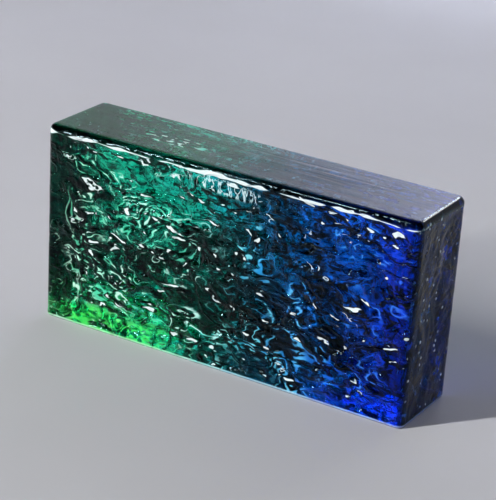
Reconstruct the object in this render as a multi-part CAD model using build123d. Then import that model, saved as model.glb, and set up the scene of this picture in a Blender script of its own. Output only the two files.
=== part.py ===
"""A solid block of cast crystal glass, standing on one long narrow side.

Millimetres. +X runs along the length, +Y through the thickness, +Z up.
The origin is the centre of the underside. The front face is the one at -Y.

The block is poured into an open mould. Its top is the free surface of the pour, flat and bright. The four
upright faces carry the rolling waves of the mould's walls, and draft makes the block narrower at its foot.
The waves only go inward from the mould's outline, and die out in a smooth band along every edge.
"""

import os
from collections import namedtuple
from math import cos, pi, radians, sin, tan, tanh

from build123d import *

# The block at its pour face, which is its largest section
LENGTH = 200.0
THICKNESS = 46.0
HEIGHT = 100.0

# The mould's draft on each upright face, and the rounding of the block's edges. The rim and the foot turn
# tighter than the corners that they run round.
DRAFT_ANGLE = 0.4
CORNER_RADIUS = 4.0
RIM_RADIUS = 3.3
FOOT_RADIUS = 1.2

# The smooth band between an edge's rounding and the field of waves, and the run over which the waves rise
SIDE_BAND = 1.0
RIM_BAND = 1.5
FOOT_BAND = 1.0
WAVE_RISE = 15.0

# The waves: depth from crest to trough, mean pitch, how flat their crests are, and the mesh of curves over them
WAVE_DEPTH = 1.3
WAVE_PITCH = 34.0
WAVE_CONTRAST = 0.6
CURVE_SPACING = 9.0

# Each train of waves: its pitch as a share of WAVE_PITCH, its heading in degrees and its phase in radians
WAVE_TRAINS = ((1.25, 68.0, 0.4), (1.0, 24.0, 1.9), (0.86, 112.0, 3.3), (0.74, 151.0, 5.2))

# What each next face adds to every heading and phase, so that no two faces are alike
HEADING_TURN = 17.0
PHASE_TURN = 2.1

BLOCK = "glass_block"

# An upright side: its number, the way along it, its outward normal, its reach from the block's middle,
# and half the width of its field of waves
Side = namedtuple("Side", "number along normal reach half_field")


def mould_sides():
    """The front, the right end, the back and the left end."""
    half_length = LENGTH / 2.0
    half_thickness = THICKNESS / 2.0
    edge = CORNER_RADIUS + SIDE_BAND
    return (
        Side(0, Vector(1, 0), Vector(0, -1), half_thickness, half_length - edge),
        Side(1, Vector(0, 1), Vector(1, 0), half_length, half_thickness - edge),
        Side(2, Vector(-1, 0), Vector(0, 1), half_thickness, half_length - edge),
        Side(3, Vector(0, -1), Vector(-1, 0), half_length, half_thickness - edge),
    )


def field_heights():
    """The lowest and the highest level of the field of waves."""
    return FOOT_RADIUS + FOOT_BAND, HEIGHT - RIM_RADIUS - RIM_BAND


def rise(distance):
    """How much of the waves' depth there is at a distance inside the field's border."""
    t = min(max(distance / WAVE_RISE, 0.0), 1.0)
    return t * t * (3.0 - 2.0 * t)


def wave(number, u, z):
    """The waves of one side, from 0 on a crest to 1 in a trough."""
    total = 0.0
    for share, heading, phase in WAVE_TRAINS:
        angle = radians(heading + HEADING_TURN * number)
        distance = u * cos(angle) + z * sin(angle)
        total += cos(2.0 * pi * distance / (WAVE_PITCH * share) + phase + PHASE_TURN * number)
    return 0.5 - 0.5 * tanh(WAVE_CONTRAST * total)


def relief(side, u, z):
    """How deep a side lies below the mould's flat wall."""
    low, high = field_heights()
    fade = rise(side.half_field - abs(u)) * rise(z - low) * rise(high - z)
    return WAVE_DEPTH * fade * wave(side.number, u, z)


def wall_point(side, u, z, depth=0.0):
    """A point of the mould's drafted wall, or so much below it."""
    inset = (HEIGHT - z) * tan(radians(DRAFT_ANGLE))
    return side.along * u + side.normal * (side.reach - inset - depth) + Vector(0, 0, z)


def shares(span):
    """Even steps from 0 to 1 across a span, one for each curve."""
    steps = max(round(span / CURVE_SPACING), 3)
    return [i / steps for i in range(steps + 1)]


def wave_field(side):
    """One side's waves as a smooth face, through a net of level and upright curves."""
    low, high = field_heights()
    across = shares(2.0 * side.half_field)
    upward = shares(high - low)
    net = []
    for rising in upward:
        z = low + (high - low) * rising
        row = [side.half_field * (2.0 * share - 1.0) for share in across]
        net.append([wall_point(side, u, z, relief(side, u, z)) for u in row])
    up = (wall_point(side, 0, high) - wall_point(side, 0, low)).normalized()
    level_ends = [side.along, side.along]
    level = [Edge.make_spline(row, tangents=level_ends, parameters=across) for row in net]
    upright = [Edge.make_spline(list(c), tangents=[up, up], parameters=upward) for c in zip(*net)]
    return Face.make_gordon_surface(level, upright)


def field_border(side):
    """The flat outline that the waves of a side fill."""
    low, high = field_heights()
    right = side.half_field
    corners = ((-right, low), (right, low), (right, high), (-right, high))
    return Wire.make_polygon([wall_point(side, u, z) for u, z in corners], close=True)


def blank():
    """The block with flat sides: drafted, and with its rim and foot rounded."""
    outline = RectangleRounded(LENGTH, THICKNESS, CORNER_RADIUS)
    body = extrude(Plane.XY.offset(HEIGHT) * outline, amount=-HEIGHT, taper=DRAFT_ANGLE)
    body = fillet(body.faces().sort_by(Axis.Z)[-1].edges(), RIM_RADIUS)
    return fillet(body.faces().sort_by(Axis.Z)[0].edges(), FOOT_RADIUS)


def make_block():
    """The blank, with each flat side opened and filled with its waves, and the skin closed to a solid."""
    skin = blank().faces()
    flats = skin.filter_by(GeomType.PLANE)
    for side in mould_sides():
        flat = flats.sort_by(Axis((0, 0, 0), side.normal))[-1]
        skin.remove(flat)
        skin.append(flat.make_holes([field_border(side)]))
        skin.append(wave_field(side))
    return Solid(Shell(skin))


os.makedirs("parts", exist_ok=True)
block = make_block()
export_step(block, f"parts/{BLOCK}.step")
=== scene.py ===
"""The looks of a solid block of cast crystal glass, shading from green through teal to blue.

Metres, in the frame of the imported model: +X along the block, +Y through its thickness, +Z up.
"""

import math
from itertools import product

import bpy
import numpy as np
from mathutils import Matrix, Vector


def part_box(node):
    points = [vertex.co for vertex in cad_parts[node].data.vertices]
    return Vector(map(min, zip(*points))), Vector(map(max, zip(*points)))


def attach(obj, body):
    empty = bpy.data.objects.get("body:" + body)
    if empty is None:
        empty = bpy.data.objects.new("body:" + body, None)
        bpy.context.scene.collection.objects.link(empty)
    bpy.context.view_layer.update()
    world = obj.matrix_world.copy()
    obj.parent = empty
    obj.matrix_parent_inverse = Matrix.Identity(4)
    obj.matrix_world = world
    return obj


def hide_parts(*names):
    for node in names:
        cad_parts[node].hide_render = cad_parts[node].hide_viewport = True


MM = 0.001

# The block, as its solid model has it
NODE = "glass_block"
SLOT = "cast_glass"
LENGTH = 200.0 * MM
THICKNESS = 46.0 * MM
DRAFT_ANGLE = 0.4
CORNER_RADIUS = 4.0 * MM
RIM_RADIUS = 3.3 * MM
FOOT_RADIUS = 1.2 * MM
SIDE_BAND = 1.0 * MM
RIM_BAND = 1.5 * MM
FOOT_BAND = 1.0 * MM
WAVE_RISE = 15.0 * MM
WAVE_DEPTH = 1.3 * MM
WAVE_PITCH = 34.0 * MM
WAVE_CONTRAST = 0.6
WAVE_TRAINS = ((1.25, 68.0, 0.4), (1.0, 24.0, 1.9), (0.86, 112.0, 3.3), (0.74, 151.0, 5.2))
HEADING_TURN = 17.0
PHASE_TURN = 2.1

# The fine broken ripple over the waves, in millimetres: the size of its cells, its seed and its depth
BROAD_RIPPLE = (13.0, 31, 1.7)
MIDDLE_RIPPLE = (7.0, 41, 1.9)
FINE_RIPPLE = (3.4, 51, 1.0)

# What the ripple is warped by: the size of the cells, the first seed and the reach, in millimetres
WARP = (17.0, 11, 9.0)
SMALL_WARP = (6.0, 21, 2.0)

# Where the ripple is rough: the size of the patches, their seed, and the least share
ROUGH_PATCH = (24.0, 61, 0.3)
RIPPLE_SQUEEZE = (0.8, 1.0, 1.0)

# How the ripple dies out towards the foot, the rim and the corners, and its share on the two ends
RIPPLE_FOOT_FADE = 3.0 * MM
RIPPLE_FADE = 4.0 * MM
CORNER_SHARE = 0.35
END_SHARE = 0.28

# The mesh over the block: its cells, the steps round each edge, and how far it stays inside the solid
CELL = 0.85 * MM
CORNER_STEPS = 5
RIM_STEPS = 7
FOOT_STEPS = 3
SKIN_GAP = 0.005 * MM
HALF_LENGTH = LENGTH / 2.0 - SKIN_GAP
HALF_THICKNESS = THICKNESS / 2.0 - SKIN_GAP

# Colours along the block, from the green end to the blue one: of the clear glass, of the painted light lines
# over the ripple, and of the painted light of pure colour along the foot
GLASS_COLOURS = (
    (0.0, (0.05, 0.95, 0.48)),
    (0.36, (0.05, 0.95, 0.60)),
    (0.47, (0.02, 0.78, 0.70)),
    (0.58, (0.0, 0.42, 1.0)),
    (0.70, (0.0, 0.23, 1.0)),
    (0.83, (0.0, 0.13, 1.0)),
    (0.95, (0.0, 0.04, 0.95)),
)
PAINTED_LIGHT_COLOURS = (
    (0.0, (0.64, 1.0, 0.80)),
    (0.42, (0.60, 1.0, 0.90)),
    (0.52, (0.22, 0.78, 0.84)),
    (0.66, (0.14, 0.62, 0.88)),
    (0.80, (0.07, 0.42, 1.0)),
    (1.0, (0.05, 0.20, 1.0)),
)
PAINTED_FOOT_COLOURS = (
    (0.0, (0.02, 1.0, 0.06)),
    (0.30, (0.02, 0.90, 0.25)),
    (0.55, (0.0, 0.35, 0.60)),
    (0.85, (0.0, 0.02, 0.68)),
)
# Colours of painted light: the foot's painted green light, the glints on the ends' pits, and the highlights
PAINTED_GLOW_COLOUR = (0.10, 1.0, 0.16, 1.0)
PAINTED_GLINT_COLOUR = (0.75, 0.86, 1.0, 1.0)
PAINTED_HIGHLIGHT_COLOUR = (0.90, 1.0, 1.0, 1.0)
SPECULAR_TINT = (0.12, 0.20, 0.22, 1.0)
ABSORPTION = ((0.0, 0.95, 0.95, 1.0), 50.0)
GLASS_IOR = 1.52

# The height of the finest creases, and how far the painted light lets no light through
CREASE_HEIGHT = 0.35 * MM
PALE_COVER = 0.88

# Borders, mostly of painted light and shade, in millimetres along x: each begins or ends over the run from one
# to the other
GREEN_FOOT_END = (-45.0, -10.0)
BLUE_FOOT_START = (40.0, 75.0)
DARK_FOOT_START = (45.0, 60.0)
LEFT_MARGIN = (-90.0, -80.0)
PAINTED_GLOW_START = (-92.0, -80.0)
PAINTED_GLEAM_START = (-92.0, -88.0)
CALM_START = (20.0, 60.0)

# The same, along z: the foot's painted light of pure colour, which wanders by so much, and the painted shadow
# under the rim
FOOT_TOP = (16.0, 24.0)
FOOT_WANDER = 16.0
RIM_SHADOW = (96.2, 97.4)
RIM_SHADE = 0.12

# The belt of broken ripple and painted light lines: its run along x, its level at both ends, its wander and its
# half width
BELT_RUN = (0.0, 65.0)
BELT_LEVELS = (62.0, 14.0)
BELT_WANDER = 50.0
BELT_WIDTH = (4.0, 20.0)

# The painted highlight line under the rim: its level, its wander, and how far it swells, in millimetres
PAINTED_RIM_LINE = 95.0
PAINTED_RIM_LINE_WANDER = 3.0
PAINTED_RIM_LINE_SWELL = 3.6

# The painted light line beside the left end: its x low down and high up, the levels between, and its wander and
# gap
UPRIGHT_LINE = (-86.2, -92.0)
UPRIGHT_BEND = (40.0, 58.0)
UPRIGHT_MIDDLE = 40.0
UPRIGHT_REACH = (26.0, 32.0)
UPRIGHT_WANDER = 10.0
UPRIGHT_GAP = 1.6

# The lenses of the ripple, in cells to the metre: their own scale, and that of the weave, the painted gleams'
# flakes and the painted fringe's comb. Their slope is in degrees and their drift is a scale and a reach in
# millimetres.
LENS_SCALE = 70.0
WEAVE_SCALE = 165.0
FLAKE_SCALE = 210.0
COMB_SCALE = 420.0
LENS_SLOPE = -18.0
LENS_DRIFT = (45.0, 16.0)

# How many contour rings a lens has: where it is calm and where it is busy, and so many in the weave
RING_COUNTS = (11.0, 24.0)
WEAVE_RINGS = 7.0
STROKE_RINGS = 15.0

# The pour face's draws and painted sparkles, and the ends' pits and painted blue glints, in cells to the metre
DRAW_SCALE = 260.0
PAINTED_SPARKLE_SCALE = 420.0
PIT_SCALE = 240.0
BLUE_GLINT_SCALE = 105.0

# Ovals over the front, in millimetres: x, z, half length, half height and lean in degrees.
# The first ones are painted light and painted shade seen through the glass, each with how much lighter it is
# painted.
CALM_SPOT = (-35.0, 84.0, 22.0, 9.0, -20.0)
PAINTED_SHADING_SPOTS = (
    (CALM_SPOT, 0.25),
    ((-70.0, 88.0, 16.0, 7.0, 0.0), 0.20),
    ((-47.0, 65.0, 30.0, 12.0, 0.0), 0.32),
    ((-10.0, 60.0, 10.0, 6.0, -20.0), -0.45),
    ((-6.0, 76.0, 12.0, 6.0, -15.0), 0.12),
    ((70.0, 92.0, 25.0, 5.0, 0.0), 0.16),
    ((85.0, 76.0, 10.0, 5.0, -10.0), 0.12),
    ((18.0, 86.0, 12.0, 8.0, 0.0), -0.15),
    ((20.0, 64.0, 12.0, 8.0, -30.0), 0.15),
    ((8.0, 26.0, 26.0, 12.0, -25.0), -0.3),
    ((-45.0, 18.0, 34.0, 9.0, 0.0), 0.15),
    ((20.0, 5.0, 20.0, 8.0, -5.0), -0.5),
    ((74.0, 42.0, 24.0, 34.0, 0.0), 0.10),
    ((42.0, 32.0, 16.0, 18.0, 0.0), 0.08),
)

# The belt where the painted mint-coloured light lines break into shards
PAINTED_SHARD_SPOTS = (
    (-81.0, 64.0, 12.0, 12.0, 0.0),
    (-60.0, 60.0, 16.0, 9.0, -10.0),
    (-33.0, 66.0, 22.0, 9.0, 5.0),
    (-8.0, 72.0, 13.0, 8.0, -15.0),
    (17.0, 56.0, 22.0, 8.0, -40.0),
    (41.0, 31.0, 20.0, 6.0, -45.0),
    (66.0, 14.0, 16.0, 6.0, -30.0),
    (-52.0, 20.0, 32.0, 7.0, 0.0),
    (-8.0, 19.0, 14.0, 7.0, -30.0),
    (-84.0, 34.0, 8.0, 30.0, 0.0),
    (-78.0, 88.0, 8.0, 8.0, 0.0),
)

# Where the painted highlights are drawn as squiggles
PAINTED_SQUIGGLE_SPOTS = (
    (-42.0, 92.0, 9.0, 3.0, -12.0),
    (-25.0, 90.0, 5.0, 2.5, 0.0),
    (-86.0, 88.0, 5.0, 4.0, 0.0),
    (-80.0, 52.0, 8.0, 4.0, -20.0),
    (-33.0, 69.0, 6.0, 6.0, 0.0),
    (-8.0, 71.0, 6.0, 3.0, 20.0),
    (22.0, 84.0, 6.0, 3.0, -30.0),
    (44.0, 80.0, 6.0, 2.5, 0.0),
    (62.0, 83.0, 5.0, 2.5, -10.0),
    (52.0, 64.0, 14.0, 2.5, -12.0),
    (68.0, 47.0, 8.0, 2.0, -30.0),
    (35.0, 10.0, 7.0, 2.5, -20.0),
)

# The painted highlight fringe under the rim and the painted shade by the foot; then, over x and y of the pour
# face, its painted sparkles and the place where its draws are deepest
PAINTED_FRINGE_SPOT = (0.0, 91.8, 24.0, 4.0, -5.0)
PAINTED_SHADE_SPOT = (18.0, 6.0, 18.0, 7.0, -5.0)
PAINTED_SPARKLE_SPOT = (-40.0, -4.0, 22.0, 6.0, 0.0)
DRAG_SPOT = (25.0, 8.0, 50.0, 10.0, 0.0)

# The stage: how far the floor lies under the block, so that light gets between them, and the sweep's reach
# to each side, its back, the radius of its bend, its top and the steps round the bend
FLOOR_GAP = 0.1 * MM
SWEEP_REACH = 3.0
SWEEP_BACK = 1.1
SWEEP_BEND = 0.5
SWEEP_TOP = 2.2
SWEEP_STEPS = 12
FLOOR_COLOURS = ((0.3, (0.575, 0.575, 0.60)), (0.7, (0.605, 0.605, 0.63)))

# Each lamp: its name, place, aim, size in metres, power in watts and colour
MIDDLE = (0.0, 0.0, 0.05)
WHITE = (1.0, 1.0, 1.0)
LAMPS = (
    ("key", (-1.05, -1.50, 1.05), MIDDLE, (0.08, 1.7), 52.0, WHITE),
    ("fill", (1.05, -1.6, 1.32), MIDDLE, (0.2, 0.2), 3.0, WHITE),
    ("back", (0.15, 0.95, 0.68), MIDDLE, (0.4, 0.06), 0.9, WHITE),
    ("backdrop", (-0.20, 0.78, 0.72), (-0.22, 1.1, 0.62), (0.2, 0.2), 8.3, (0.72, 0.78, 1.0)),
)
WORLD_COLOUR = (0.75, 0.78, 0.85, 1.0)
WORLD_STRENGTH = 0.04

# The camera, as the photograph was taken
CAMERA_PLACE = (0.4335, -0.7427, 0.4120)
CAMERA_AIM = (0.0017, -0.0005, 0.0545)
CAMERA_ROLL = 3.66
CAMERA_LENS = 142.7
CAMERA_SENSOR = 36.0
CAMERA_NEAR = 0.01

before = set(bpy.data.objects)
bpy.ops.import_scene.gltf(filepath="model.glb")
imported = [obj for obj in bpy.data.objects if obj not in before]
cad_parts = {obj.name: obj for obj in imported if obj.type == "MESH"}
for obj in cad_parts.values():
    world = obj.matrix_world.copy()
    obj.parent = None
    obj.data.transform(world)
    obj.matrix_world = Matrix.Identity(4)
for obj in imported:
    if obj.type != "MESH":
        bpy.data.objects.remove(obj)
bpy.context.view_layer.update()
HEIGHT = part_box(NODE)[1].z


def gradient_noise(points, seed):
    """Smooth noise, about -1 to 1, at each row of an n by 3 array."""
    cell = np.floor(points).astype(np.int64)
    part = points - cell
    fade = part ** 3 * (part * (part * 6.0 - 15.0) + 10.0)
    total = np.zeros(len(points))
    for corner in product((0, 1), repeat=3):
        at = cell + np.array(corner)
        mixed = (at * np.array([73856093, 19349663, 83492791])).sum(axis=1) + seed * 40503
        mixed = (mixed & 0xFFFFFFFF).astype(np.uint32)
        for shift, factor in ((16, 0x7FEB352D), (15, 0x846CA68B)):
            mixed ^= mixed >> np.uint32(shift)
            mixed *= np.uint32(factor)
        mixed ^= mixed >> np.uint32(16)
        turn = 2.0 * np.pi * (mixed & 0xFFFF) / 65536.0
        level = 2.0 * (mixed >> np.uint32(16)) / 65536.0 - 1.0
        ring = np.sqrt(np.maximum(1.0 - level ** 2, 0.0))
        gradient = np.stack([ring * np.cos(turn), ring * np.sin(turn), level], axis=1)
        weight = np.prod(np.where(np.array(corner) == 1, fade, 1.0 - fade), axis=1)
        total += weight * (gradient * (part - np.array(corner))).sum(axis=1)
    return 1.55 * total


def noise_vectors(points, size, seed):
    """Three noises at each point, side by side."""
    return np.stack([gradient_noise(points / size, seed + k) for k in range(3)], axis=1)


def smooth(t):
    t = np.clip(t, 0.0, 1.0)
    return t * t * (3.0 - 2.0 * t)


def wave(number, u, z):
    """The mould's rolling waves on one side, from 0 on a crest to 1 in a trough."""
    total = np.zeros_like(u)
    for share, heading, phase in WAVE_TRAINS:
        angle = math.radians(heading + HEADING_TURN * number)
        distance = u * math.cos(angle) + z * math.sin(angle)
        total += np.cos(2.0 * np.pi * distance / (WAVE_PITCH * share) + phase + PHASE_TURN * number)
    return 0.5 - 0.5 * np.tanh(WAVE_CONTRAST * total)


def ripple(points):
    """Depth of the mould's fine broken ripple, in millimetres, at points in millimetres."""
    points = points * np.array(RIPPLE_SQUEEZE)
    size, seed, reach = WARP
    warped = points + reach * noise_vectors(points, size, seed)
    size, seed, reach = SMALL_WARP
    broken = warped + reach * noise_vectors(warped, size, seed)

    def ridges(at, kind):
        size, seed, depth = kind
        return depth * np.abs(gradient_noise(at / size, seed))

    size, seed, least = ROUGH_PATCH
    rough = smooth(0.5 + 1.3 * gradient_noise(points / size, seed))
    share = least + (1.0 - least) * rough
    return ridges(warped, BROAD_RIPPLE) + share * (ridges(broken, MIDDLE_RIPPLE) + ridges(broken, FINE_RIPPLE))


def outline_columns():
    """The mesh's upright columns: core point, normal, side number, distance along the side, and its half."""
    core_x = HALF_LENGTH - CORNER_RADIUS
    core_y = HALF_THICKNESS - CORNER_RADIUS
    sides = (
        ((1, 0), (0, -1), core_x, core_y),
        ((0, 1), (1, 0), core_y, core_x),
        ((-1, 0), (0, 1), core_x, core_y),
        ((0, -1), (-1, 0), core_y, core_x),
    )
    columns = []
    for number, (along, normal, half, reach) in enumerate(sides):
        along, normal = np.array(along, float), np.array(normal, float)
        steps = round(2.0 * half / CELL)
        for i in range(steps):
            u = half * (2.0 * i / steps - 1.0)
            columns.append((*(along * u + normal * reach), *normal, number, u, half))
        for i in range(CORNER_STEPS):
            angle = 0.5 * math.pi * i / CORNER_STEPS
            turned = normal * math.cos(angle) + along * math.sin(angle)
            columns.append((*(along * half + normal * reach), *turned, number, half, half))
    return np.array(columns)


def wall_rows():
    """The levels of the mesh from foot to rim: height, and how far the wall has come in."""
    rows = []
    for i in range(FOOT_STEPS):
        angle = 0.5 * math.pi * (1.0 - i / FOOT_STEPS)
        rows.append((FOOT_RADIUS * (1.0 - math.sin(angle)), FOOT_RADIUS * (1.0 - math.cos(angle))))
    low, high = FOOT_RADIUS, HEIGHT - RIM_RADIUS
    steps = round((high - low) / CELL)
    rows += [(low + (high - low) * i / steps, 0.0) for i in range(steps)]
    for i in range(RIM_STEPS + 1):
        angle = 0.5 * math.pi * i / RIM_STEPS
        rows.append((high + RIM_RADIUS * math.sin(angle), RIM_RADIUS * (1.0 - math.cos(angle))))
    return np.array(rows)


def rolling(number, u, half, z):
    """The rolling waves of all sides, dying out towards each side's border, from 0 to 1."""
    low = FOOT_RADIUS + FOOT_BAND
    high = HEIGHT - RIM_RADIUS - RIM_BAND
    level = smooth((z - low) / WAVE_RISE) * smooth((high - z) / WAVE_RISE)
    waves = np.zeros((len(u), len(z)))
    for side in range(4):
        mine = number == side
        across = smooth((half[mine] - SIDE_BAND - np.abs(u[mine])) / WAVE_RISE)
        us, zs = np.meshgrid(u[mine], z, indexing="ij")
        waves[mine] = across[:, None] * level[None, :] * wave(side, us, zs)
    return waves


def relief(columns, rows):
    """How deep the cast surface lies below the mould's flat wall, for each column and row."""
    number, u, half = columns[:, 4], columns[:, 5], columns[:, 6]
    z = rows[:, 0]
    points = np.empty((len(columns), len(rows), 3))
    points[:, :, 0:2] = (columns[:, 0:2] + columns[:, 2:4] * CORNER_RADIUS)[:, None, :]
    points[:, :, 2] = z[None, :]
    fine = ripple(points.reshape(-1, 3) / MM).reshape(len(columns), len(rows))
    edge = smooth((z - FOOT_RADIUS) / RIPPLE_FOOT_FADE) * smooth((HEIGHT - RIM_RADIUS - z) / RIPPLE_FADE)
    corner = CORNER_SHARE + (1.0 - CORNER_SHARE) * smooth((half - np.abs(u)) / RIPPLE_FADE)
    share = corner * np.where(number % 2 == 0, 1.0, END_SHARE)
    return WAVE_DEPTH * rolling(number, u, half, z) + MM * fine * edge[None, :] * share[:, None]


def cap_faces(columns, verts, z, row, row_count):
    """A grid that closes the ring of walls at one end, with a fan at each corner."""
    core_x, core_y = HALF_LENGTH - CORNER_RADIUS, HALF_THICKNESS - CORNER_RADIUS
    nx, ny = round(2.0 * core_x / CELL), round(2.0 * core_y / CELL)
    start = len(verts)
    for i, j in product(range(nx + 1), range(ny + 1)):
        verts.append((core_x * (2.0 * i / nx - 1.0), core_y * (2.0 * j / ny - 1.0), z))

    def grid(i, j):
        return start + i * (ny + 1) + j

    def wall(column):
        return (column % len(columns)) * row_count + row

    faces = []
    for i, j in product(range(nx), range(ny)):
        faces.append((grid(i, j), grid(i + 1, j), grid(i + 1, j + 1), grid(i, j + 1)))
    # Each side's grid points in turn, met by that side's columns
    runs = (
        [(i, 0) for i in range(nx + 1)],
        [(nx, j) for j in range(ny + 1)],
        [(nx - i, ny) for i in range(nx + 1)],
        [(0, ny - j) for j in range(ny + 1)],
    )
    column = 0
    for run in runs:
        for a, b in zip(run, run[1:]):
            faces.append((wall(column), wall(column + 1), grid(*b), grid(*a)))
            column += 1
        for _ in range(CORNER_STEPS):
            faces.append((wall(column), wall(column + 1), grid(*run[-1])))
            column += 1
    return faces


def block_mesh():
    """The whole skin of the block: the ring of walls, with a grid over the rim and one under the foot."""
    columns, rows = outline_columns(), wall_rows()
    n, m = len(columns), len(rows)
    inset = (HEIGHT - rows[:, 0]) * math.tan(math.radians(DRAFT_ANGLE)) + rows[:, 1]
    out = CORNER_RADIUS - inset[None, :] - relief(columns, rows)
    ring = np.empty((n, m, 3))
    ring[:, :, 0:2] = columns[:, None, 0:2] + columns[:, None, 2:4] * out[:, :, None]
    ring[:, :, 2] = rows[None, :, 0]
    verts = [tuple(p) for p in ring.reshape(-1, 3)]
    faces = []
    for i, k in product(range(n), range(m - 1)):
        j = (i + 1) % n
        faces.append((i * m + k, j * m + k, j * m + k + 1, i * m + k + 1))
    faces += cap_faces(columns, verts, HEIGHT, m - 1, m)
    faces += [face[::-1] for face in cap_faces(columns, verts, 0.0, 0, m)]
    return smooth_mesh("glass_block_skin", verts, faces)


def smooth_mesh(name, verts, faces):
    mesh = bpy.data.meshes.new(name)
    mesh.from_pydata(verts, [], faces)
    mesh.validate()
    for polygon in mesh.polygons:
        polygon.use_smooth = True
    mesh.update()
    return mesh


class Nodes:
    """A material's node tree, with short calls to add nodes and join them."""

    def __init__(self, name):
        self.material = bpy.data.materials.new(name)
        self.material.use_nodes = True
        self.tree = self.material.node_tree
        self.tree.nodes.clear()
        self.place = self.add("ShaderNodeTexCoord").outputs["Object"]

    def add(self, kind, **settings):
        node = self.tree.nodes.new(kind)
        for key, value in settings.items():
            if key in node.inputs:
                self.set(node.inputs[key], value)
            else:
                setattr(node, key, value)
        return node

    def set(self, socket, value):
        if isinstance(value, bpy.types.NodeSocket):
            self.tree.links.new(value, socket)
        else:
            socket.default_value = value

    def fill(self, node, *values):
        for socket, value in zip(node.inputs, values):
            self.set(socket, value)
        return node.outputs[0]

    def math(self, operation, *values):
        return self.fill(self.add("ShaderNodeMath", operation=operation), *values)

    def times(self, value, *others):
        for other in others:
            value = self.math("MULTIPLY", value, other)
        return value

    def plus(self, value, *others):
        for other in others:
            value = self.math("ADD", value, other)
        return value

    def linear(self, value, factor, offset):
        return self.math("MULTIPLY_ADD", value, factor, offset)

    def off(self, value, middle):
        """How far a value is from a middle, to either side."""
        return self.math("ABSOLUTE", self.math("SUBTRACT", value, middle))

    def most(self, *values):
        """The greatest of many values."""
        while len(values) > 1:
            pairs = [values[i:i + 2] for i in range(0, len(values), 2)]
            values = [self.math("MAXIMUM", *pair) if len(pair) > 1 else pair[0] for pair in pairs]
        return values[0]

    def noise(self, vector, scale, detail=1.0, roughness=0.5, distortion=0.0):
        return self.add("ShaderNodeTexNoise", Vector=vector, Scale=scale, Detail=detail,
                        Roughness=roughness, Distortion=distortion).outputs["Fac"]

    def step(self, value, low, high, start=0.0, end=1.0):
        """A smooth rise from start to end, while the value goes from low to high."""
        node = self.add("ShaderNodeMapRange", interpolation_type="SMOOTHSTEP")
        names = ("Value", "From Min", "From Max", "To Min", "To Max")
        for name, v in zip(names, (value, low, high, start, end)):
            self.set(node.inputs[name], v)
        return node.outputs["Result"]

    def ramp(self, value, stops):
        node = self.add("ShaderNodeValToRGB", Fac=value)
        marks = node.color_ramp.elements
        while len(marks) < len(stops):
            marks.new(0.5)
        for mark, (place, colour) in zip(marks, stops):
            mark.position = place
            mark.color = (*colour, 1.0)
        return node.outputs["Color"]

    def mixed(self, share, one, other, blend="MIX"):
        node = self.add("ShaderNodeMix", data_type="RGBA", blend_type=blend)
        for socket, value in zip((node.inputs[0], node.inputs[6], node.inputs[7]), (share, one, other)):
            self.set(socket, value)
        return node.outputs[2]

    def stretched(self, vector, scale, turn=0.0):
        """A place, turned about the thickness and squeezed, so that what is drawn there is drawn out."""
        rotation = (0.0, math.radians(turn), 0.0)
        return self.add("ShaderNodeMapping", Vector=vector, Rotation=rotation, Scale=scale).outputs[0]

    def drifted(self, vector, scale, reach):
        """A place, drifted by a noise up to a reach in millimetres, so that what is drawn there wanders."""
        drift = self.add("ShaderNodeTexNoise", Vector=vector, Scale=scale, Detail=3.5).outputs["Color"]
        node = self.add("ShaderNodeVectorMath", operation="MULTIPLY_ADD")
        return self.fill(node, drift, (reach * MM,) * 3, vector)

    def finish(self, **shaders):
        output = self.add("ShaderNodeOutputMaterial")
        for name, shader in shaders.items():
            self.set(output.inputs[name], shader.outputs[0])
        return self.material


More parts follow.
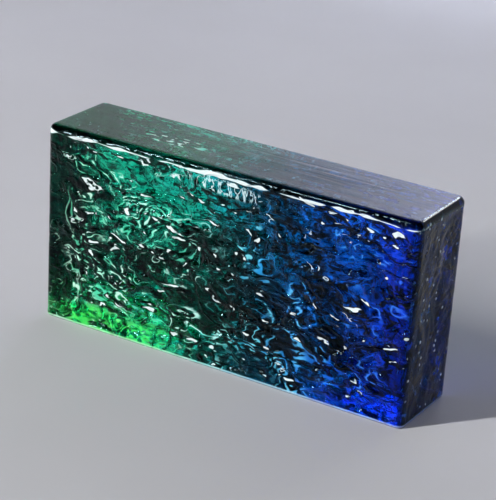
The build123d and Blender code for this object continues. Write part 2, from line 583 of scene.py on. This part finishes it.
class CastGlass(Nodes):
    """Clear cast glass, tinted through: green at one end, teal in the middle, blue at the other.

    Light and shade are painted into its colour. Lengths are in millimetres; a noise's scale is in cells to the
    metre.
    """

    def __init__(self):
        super().__init__(SLOT)
        self.faces()
        self.regions()
        self.lenses()
        self.breaks()

    def faces(self):
        """Where a point is, and on which kind of face: a wall, an end, or lying flat."""
        scaled = self.add("ShaderNodeVectorMath", operation="SCALE", Vector=self.place, Scale=1.0 / MM)
        axes = self.add("ShaderNodeSeparateXYZ", Vector=scaled.outputs[0])
        self.x, self.y, self.z = axes.outputs
        normal = self.add("ShaderNodeNewGeometry").outputs["True Normal"]
        facing = self.add("ShaderNodeSeparateXYZ", Vector=normal)
        level = self.math("ABSOLUTE", facing.outputs["Z"])
        self.wall = self.step(level, 0.3, 0.8, 1.0, 0.0)
        self.lying = self.step(level, 0.8, 0.95)
        self.end = self.step(self.math("ABSOLUTE", facing.outputs["X"]), 0.6, 0.85)

    def oval(self, spot, soft=0.4, up=None):
        """1 inside an oval over the block's length and height, 0 outside, and soft between."""
        at_x, at_z, long, tall, lean = spot
        up = self.z if up is None else up
        dx, dz = self.math("SUBTRACT", self.x, at_x), self.math("SUBTRACT", up, at_z)
        c, s = math.cos(math.radians(lean)), math.sin(math.radians(lean))
        run = self.linear(dx, c / long, self.times(dz, s / long))
        lift = self.linear(dz, c / tall, self.times(dx, -s / tall))
        off = self.math("SQRT", self.linear(run, run, self.times(lift, lift)))
        return self.step(off, 1.0 - soft, 1.0 + soft, 1.0, 0.0)

    def regions(self):
        """The foot, the belt of broken ripple that runs down across the block, and the glass over it."""
        x, z, step = self.x, self.z, self.step
        ragged = self.linear(self.noise(self.place, 40.0), FOOT_WANDER, z)
        self.foot = step(ragged, *FOOT_TOP, 1.0, 0.0)
        # Painted light: the foot's bright strip of pure green at the left and pure blue at the right
        self.painted_green_foot = self.times(self.foot, step(x, *GREEN_FOOT_END, 1.0, 0.0))
        blue_foot = self.times(self.foot, step(x, *BLUE_FOOT_START, 0.0, 0.8))
        self.painted_bright_foot = self.most(self.painted_green_foot, blue_foot)
        self.belt = self.plus(
            self.math("SUBTRACT", z, step(x, *BELT_RUN, *BELT_LEVELS)),
            self.linear(self.noise(self.place, 26.0), BELT_WANDER, -BELT_WANDER / 2.0),
        )
        self.over = step(self.belt, 0.0, 20.0)
        self.calm_spot = self.oval(CALM_SPOT)
        # The painted shade strip along the left end, and the painted shadow of the rim
        self.outside_painted_strip = self.most(step(x, *LEFT_MARGIN), self.times(self.foot, 0.35))
        self.painted_rim_shadow = step(z, *RIM_SHADOW, 1.0, RIM_SHADE)

    def lenses(self):
        """The contours of the small lenses that the ripple makes, drawn out along the block and downhill."""
        self.moved = self.drifted(self.stretched(self.place, (0.6, 1.0, 1.0), LENS_SLOPE), *LENS_DRIFT)
        self.field = self.noise(self.moved, LENS_SCALE, 2.5)
        self.weave = self.noise(self.moved, WEAVE_SCALE, 2.0, 0.55, 0.6)
        patches = self.step(self.noise(self.place, 40.0), 0.42, 0.60, *RING_COUNTS)
        blue_side = self.step(self.plus(self.x, self.times(self.z, 0.6)), 35.0, 85.0, 1.0, 0.5)
        self.density = self.times(patches, blue_side)
        middled = self.math("SUBTRACT", self.field, 0.5)
        self.rings = self.math("PINGPONG", self.times(middled, self.density), 1.0)
        self.small_rings = self.math("PINGPONG", self.times(self.weave, WEAVE_RINGS), 1.0)
        self.both_rings = self.plus(self.rings, self.small_rings)

    def breaks(self):
        """Where the ripple breaks and the painted light lines gather: a little everywhere, fully in the belt
        and its shards.
        """
        near = self.step(self.math("ABSOLUTE", self.belt), *BELT_WIDTH, 1.0, 0.0)
        patches = self.step(self.noise(self.place, 34.0), 0.49, 0.59)
        calm = self.most(self.times(self.step(self.x, *CALM_START), self.over), self.calm_spot)
        self.lively = self.times(self.most(near, patches), self.linear(calm, -0.7, 1.0))
        least = self.most(self.lively, self.step(self.x, -20.0, 50.0, 0.40, 0.50))
        shards = self.most(*[self.oval(spot, 0.6) for spot in PAINTED_SHARD_SPOTS])
        busy = self.most(self.times(least, 0.7), shards)
        busy = self.times(busy, self.linear(self.outside_painted_strip, 0.8, 0.2))
        self.busy = self.most(busy, self.times(self.outside_painted_strip, 0.22))
        # The painted gleams are small flakes of painted highlight, each in a ring of painted shade
        flake = self.noise(self.stretched(self.moved, (0.6, 1.0, 1.25)), FLAKE_SCALE, 1.5)
        flake = self.plus(flake, self.step(self.x, -40.0, 50.0, 0.0, -0.04))
        self.flake = self.plus(flake, self.step(self.z, 35.0, 55.0, -0.012, 0.0))
        self.painted_dark_ring = self.step(self.flake, 0.56, 0.60, 1.0, 0.12)

    def colours(self):
        """The glass's own colour, painted pure along the foot, and the painted light's pale one; the pours'
        seam is streaked.
        """
        streak = self.linear(self.noise(self.place, 22.0, 3.0, 0.6, 0.6), 50.0, -25.0)
        across = self.linear(self.z, 0.08, self.plus(self.x, streak))
        blend = self.linear(across, 0.005, 0.48)
        along = self.linear(self.x, 0.006, 0.5)
        pure = self.ramp(along, PAINTED_FOOT_COLOURS)
        glass = self.mixed(self.times(self.foot, 0.97), self.ramp(blend, GLASS_COLOURS), pure)
        return glass, self.ramp(blend, PAINTED_LIGHT_COLOURS)

    def painted_shading_level(self):
        """How light each place of the glass is painted: by the set ovals and a patchy noise, lighter over the
        belt and at the foot.
        """
        patch = self.noise(self.drifted(self.place, 30.0, 20.0), 38.0, 2.0, 0.6, 0.5)
        small = self.noise(self.drifted(self.place, 60.0, 10.0), 120.0, 2.0, 0.6)
        level = self.linear(small, 0.45, self.linear(patch, 0.8, -0.125))
        level = self.plus(level, self.linear(self.over, 0.11, -0.06))
        level = self.linear(self.painted_bright_foot, 0.5, level)
        for spot, amount in PAINTED_SHADING_SPOTS:
            level = self.linear(self.oval(spot), amount, level)
        return level

    def tone(self, draws):
        """How light the clear glass is painted: dark between lenses, in dark spots, round gleams, on the ends
        and by the rim.
        """
        level = self.painted_shading_level()
        tone = self.times(self.step(level, 0.45, 0.57, 0.02, 1.0), self.linear(self.outside_painted_strip, 0.6, 0.4))
        least = self.step(self.x, -20.0, 30.0, 0.26, 0.40)
        tone = self.most(tone, self.times(least, self.step(level, 0.33, 0.41, 0.5, 1.0)))
        # Painted shade: dark rings between the lenses, weaker in the quiet places
        quiet = self.step(self.noise(self.place, 48.0), 0.50, 0.60)
        quiet = self.linear(self.most(quiet, self.painted_bright_foot, self.calm_spot), 0.45, 0.06)
        tone = self.times(tone, self.step(self.both_rings, 0.4, 1.0, quiet, 1.0))
        # More painted shade round the painted gleams, on the ends and under the rim
        tone = self.times(tone, self.painted_dark_ring, self.linear(self.end, -0.7, 1.0), self.painted_rim_shadow)
        # The pour face is clear, with long faint draws
        bare = self.times(self.step(draws, 0.40, 0.50, 0.7, 1.0), self.step(self.x, -20.0, 50.0, 1.0, 0.7))
        tone = self.plus(self.times(tone, self.math("SUBTRACT", 1.0, self.lying)), self.times(bare, self.lying))
        return self.times(tone, tone)

    def threads(self, shine):
        """Painted light along the outlines of the lenses, in shards, with hardly any in the painted shade spot
        by the foot.
        """
        green_side = self.step(self.z, 45.0, 60.0, 0.84, 0.95)
        start = self.step(self.x, 0.0, 50.0, green_side, 0.78)
        low = self.linear(self.times(self.busy, self.density), -0.021, start)
        painted_light = self.step(self.rings, low, self.plus(low, 0.35))
        painted_light = self.times(painted_light, self.step(self.small_rings, 0.10, 0.45), self.linear(shine, 0.4, 0.6))
        # Few painted light lines in the painted shade spot by the foot and along its blue end
        blue_foot = self.times(self.foot, self.step(self.x, *DARK_FOOT_START))
        lineless_patch = self.most(self.oval(PAINTED_SHADE_SPOT), blue_foot)
        return self.times(painted_light, self.linear(lineless_patch, -0.8, 1.0), self.painted_dark_ring, self.painted_rim_shadow)

    def painted_upright_line(self):
        """A painted pale light line that wanders up beside the left end, single here and double there."""
        x_there = self.step(self.z, *UPRIGHT_BEND, *UPRIGHT_LINE)
        off = self.off(self.x, self.linear(self.noise(self.place, 75.0, 2.0, 0.6), UPRIGHT_WANDER, x_there))
        off = self.off(off, self.step(self.noise(self.place, 33.0), 0.45, 0.60, 0.0, UPRIGHT_GAP))
        reach = self.step(self.off(self.z, UPRIGHT_MIDDLE), *UPRIGHT_REACH, 1.0, 0.0)
        broken = self.step(self.noise(self.place, 120.0), 0.36, 0.48)
        return self.times(self.step(off, 0.2, 0.8, 0.6, 0.0), reach, broken)

    def painted_highlights(self):
        """Painted highlights on the walls: squiggles, the fringe and the line under the rim, and the gleams."""
        spots = self.most(*[self.oval(spot) for spot in PAINTED_SQUIGGLE_SPOTS])
        # Painted highlight squiggles in their spots
        painted_squiggle = self.step(self.off(self.weave, 0.5), 0.008, 0.030, 1.0, 0.0)
        painted_squiggle = self.times(painted_squiggle, spots, self.step(self.noise(self.place, 230.0), 0.44, 0.52))
        hanging = self.stretched(self.place, (1.0, 1.0, 0.35))
        comb = self.off(self.noise(self.drifted(hanging, 120.0, 6.0), COMB_SCALE), 0.5)
        fringe = self.times(self.step(comb, 0.02, 0.07, 0.9, 0.0), self.oval(PAINTED_FRINGE_SPOT, 0.25))
        # The painted highlight line under the rim
        height = self.linear(self.noise(hanging, 60.0), PAINTED_RIM_LINE_WANDER, PAINTED_RIM_LINE)
        line = self.linear(self.noise(hanging, 110.0), -PAINTED_RIM_LINE_SWELL, self.off(self.z, height))
        line = self.step(line, -1.4, -1.0, 1.0, 0.0)
        # Painted highlight gleams on the lens strokes
        stroke = self.math("PINGPONG", self.times(self.field, STROKE_RINGS), 1.0)
        painted_gleam = self.times(self.step(self.flake, 0.61, 0.63), self.step(stroke, 0.60, 0.76))
        painted_gleam = self.times(painted_gleam, self.step(self.x, *PAINTED_GLEAM_START))
        return self.most(painted_squiggle, fringe, line, painted_gleam)

    def build(self):
        draws = self.noise(self.stretched(self.place, (0.06, 1.0, 1.0)), DRAW_SCALE, 2.0, 0.6)
        shine = self.step(self.noise(self.place, 85.0), 0.40, 0.60, 0.2, 1.0)
        # All the painted light: lines along the lenses, the left-end line and the highlights, on the walls,
        # little on the ends
        painted_highlight = self.painted_highlights()
        painted_light = self.times(self.most(self.threads(shine), self.painted_upright_line(), painted_highlight), self.wall)
        painted_light = self.times(painted_light, self.linear(self.end, -0.92, 1.0))

        # Painted light: the pour face's sparkles, the glints on the ends' pits and blue glints, the foot's
        # highlight and green light
        dashes = self.stretched(self.place, (0.45, 1.0, 1.0))
        painted_sparkle = self.step(self.noise(dashes, PAINTED_SPARKLE_SCALE), 0.57, 0.62)
        painted_sparkle = self.times(painted_sparkle, self.oval(PAINTED_SPARKLE_SPOT, up=self.y), self.lying)
        # The ends' pits: dents in the bump, with painted glints on them
        cells = self.add("ShaderNodeTexVoronoi", Vector=self.place, Scale=PIT_SCALE).outputs["Distance"]
        pit_and_glint = self.step(cells, 0.12, 0.28, 1.0, 0.0)
        pit_and_glint = self.times(pit_and_glint, self.step(self.noise(self.place, 60.0), 0.46, 0.54), self.end)
        # Painted blue glints on the ends
        blue = self.step(self.x, -50.0, 50.0, 0.15, 0.7)
        painted_blue_glint = self.step(self.noise(self.place, BLUE_GLINT_SCALE, 2.0, 0.6), 0.57, 0.64, 0.0, blue)
        painted_blue_glint = self.times(painted_blue_glint, self.step(self.noise(self.place, 260.0), 0.42, 0.52), self.end)
        # Painted highlight along the foot's rounding
        painted_foot_highlight = self.times(self.step(self.z, 1.3, 1.8, 0.9, 0.0), self.math("SUBTRACT", 1.0, self.lying))
        # The foot's painted green light, brightest on the lens rings
        painted_green_glow = self.times(self.painted_green_foot, self.wall, self.step(self.x, *PAINTED_GLOW_START, 0.3, 1.0))
        painted_glow_rings = self.times(painted_green_glow, self.step(self.both_rings, 0.7, 1.5, 0.0, 0.75))
        painted_light = self.most(painted_light, painted_sparkle, pit_and_glint, painted_blue_glint, painted_foot_highlight, painted_glow_rings)

        # The painted light takes the pale colours, the painted green light, glints and highlights; the clear
        # glass takes the painted shade
        glass, pale = self.colours()
        pale = self.mixed(shine, glass, pale)
        pale = self.mixed(painted_green_glow, pale, PAINTED_GLOW_COLOUR)
        pale = self.mixed(pit_and_glint, pale, PAINTED_GLINT_COLOUR)
        pale = self.mixed(self.most(painted_highlight, self.times(painted_foot_highlight, 0.5)), pale, PAINTED_HIGHLIGHT_COLOUR)
        clear = self.mixed(1.0, glass, self.tone(draws), "MULTIPLY")

        bsdf = self.add("ShaderNodeBsdfPrincipled", Roughness=0.0, IOR=GLASS_IOR)
        bsdf.inputs["Specular Tint"].default_value = SPECULAR_TINT
        self.set(bsdf.inputs["Base Color"], self.mixed(painted_light, clear, pale))
        self.set(bsdf.inputs["Transmission Weight"], self.linear(painted_light, -PALE_COVER, 1.0))
        self.set(bsdf.inputs["Normal"], self.creases(draws, pit_and_glint))
        colour, density = ABSORPTION
        volume = self.add("ShaderNodeVolumeAbsorption", Color=colour, Density=density)
        return self.finish(Surface=bsdf, Volume=volume)

    def creases(self, draws, pit_and_glint):
        """The bump: creases along the lenses, the ends' pits, and the draws of the pour face."""
        off = self.off(self.field, 0.5)
        ridge = self.step(off, 0.0, 0.025, 1.0, 0.0)
        doubled = self.step(self.off(off, 0.07), 0.0, 0.02, 0.6, 0.0)
        height = self.linear(self.plus(doubled, self.weave), self.lively, ridge)
        height = self.times(height, self.linear(self.end, -0.8, 1.0))
        height = self.times(self.linear(pit_and_glint, -1.5, height), self.wall)
        drag = self.linear(self.oval(DRAG_SPOT, 0.6, up=self.y), 1.3, 0.35)
        height = self.linear(draws, self.times(self.lying, drag), height)
        return self.add("ShaderNodeBump", Height=height, Strength=1.0, Distance=CREASE_HEIGHT).outputs["Normal"]


def glass_piece():
    block = bpy.data.objects.new("cast_block", block_mesh())
    bpy.context.scene.collection.objects.link(block)
    block.data.materials.append(CastGlass().build())
    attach(block, "root")
    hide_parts(NODE)


def pale_material():
    n = Nodes("pale_stage")
    bsdf = n.add("ShaderNodeBsdfPrincipled", Roughness=0.9)
    bsdf.inputs["Specular IOR Level"].default_value = 0.2
    n.set(bsdf.inputs["Base Color"], n.ramp(n.noise(n.place, 6.0, 4.0), FLOOR_COLOURS))
    return n.finish(Surface=bsdf)


def stage():
    """A pale floor that sweeps up into a backdrop behind the block."""
    profile = [(-SWEEP_REACH, -FLOOR_GAP), (SWEEP_BACK - SWEEP_BEND, -FLOOR_GAP)]
    for i in range(1, SWEEP_STEPS + 1):
        angle = 0.5 * math.pi * i / SWEEP_STEPS
        y = SWEEP_BACK - SWEEP_BEND + SWEEP_BEND * math.sin(angle)
        profile.append((y, SWEEP_BEND * (1.0 - math.cos(angle))))
    profile.append((SWEEP_BACK, SWEEP_TOP))
    verts = [(side * SWEEP_REACH, y, z) for y, z in profile for side in (-1, 1)]
    faces = [(2 * i, 2 * i + 1, 2 * i + 3, 2 * i + 2) for i in range(len(profile) - 1)]
    floor = bpy.data.objects.new("pale_sweep", smooth_mesh("sweep", verts, faces))
    bpy.context.scene.collection.objects.link(floor)
    floor.data.materials.append(pale_material())


def lighting():
    for name, place, aim, size, power, colour in LAMPS:
        light = bpy.data.lights.new(name, "AREA")
        light.shape = "RECTANGLE"
        light.size, light.size_y = size
        light.energy = power
        light.color = colour
        lamp = bpy.data.objects.new(name, light)
        lamp.location = place
        lamp.rotation_euler = (Vector(aim) - Vector(place)).to_track_quat("-Z", "Y").to_euler()
        lamp.visible_camera = False
        bpy.context.scene.collection.objects.link(lamp)
    world = bpy.data.worlds.new("studio")
    bpy.context.scene.world = world
    world.use_nodes = True
    world.node_tree.nodes["Background"].inputs["Color"].default_value = WORLD_COLOUR
    world.node_tree.nodes["Background"].inputs["Strength"].default_value = WORLD_STRENGTH


def camera():
    data = bpy.data.cameras.new("camera")
    data.lens = CAMERA_LENS
    data.sensor_width = CAMERA_SENSOR
    data.clip_start = CAMERA_NEAR
    seen = bpy.data.objects.new("camera", data)
    place, aim = Vector(CAMERA_PLACE), Vector(CAMERA_AIM)
    turn = (aim - place).to_track_quat("-Z", "Y").to_matrix().to_4x4()
    roll = Matrix.Rotation(math.radians(CAMERA_ROLL), 4, "Z")
    seen.matrix_world = Matrix.Translation(place) @ turn @ roll
    bpy.context.scene.collection.objects.link(seen)
    bpy.context.scene.camera = seen


camera()
lighting()
stage()
glass_piece()
bpy.context.scene.view_settings.view_transform = "Standard"
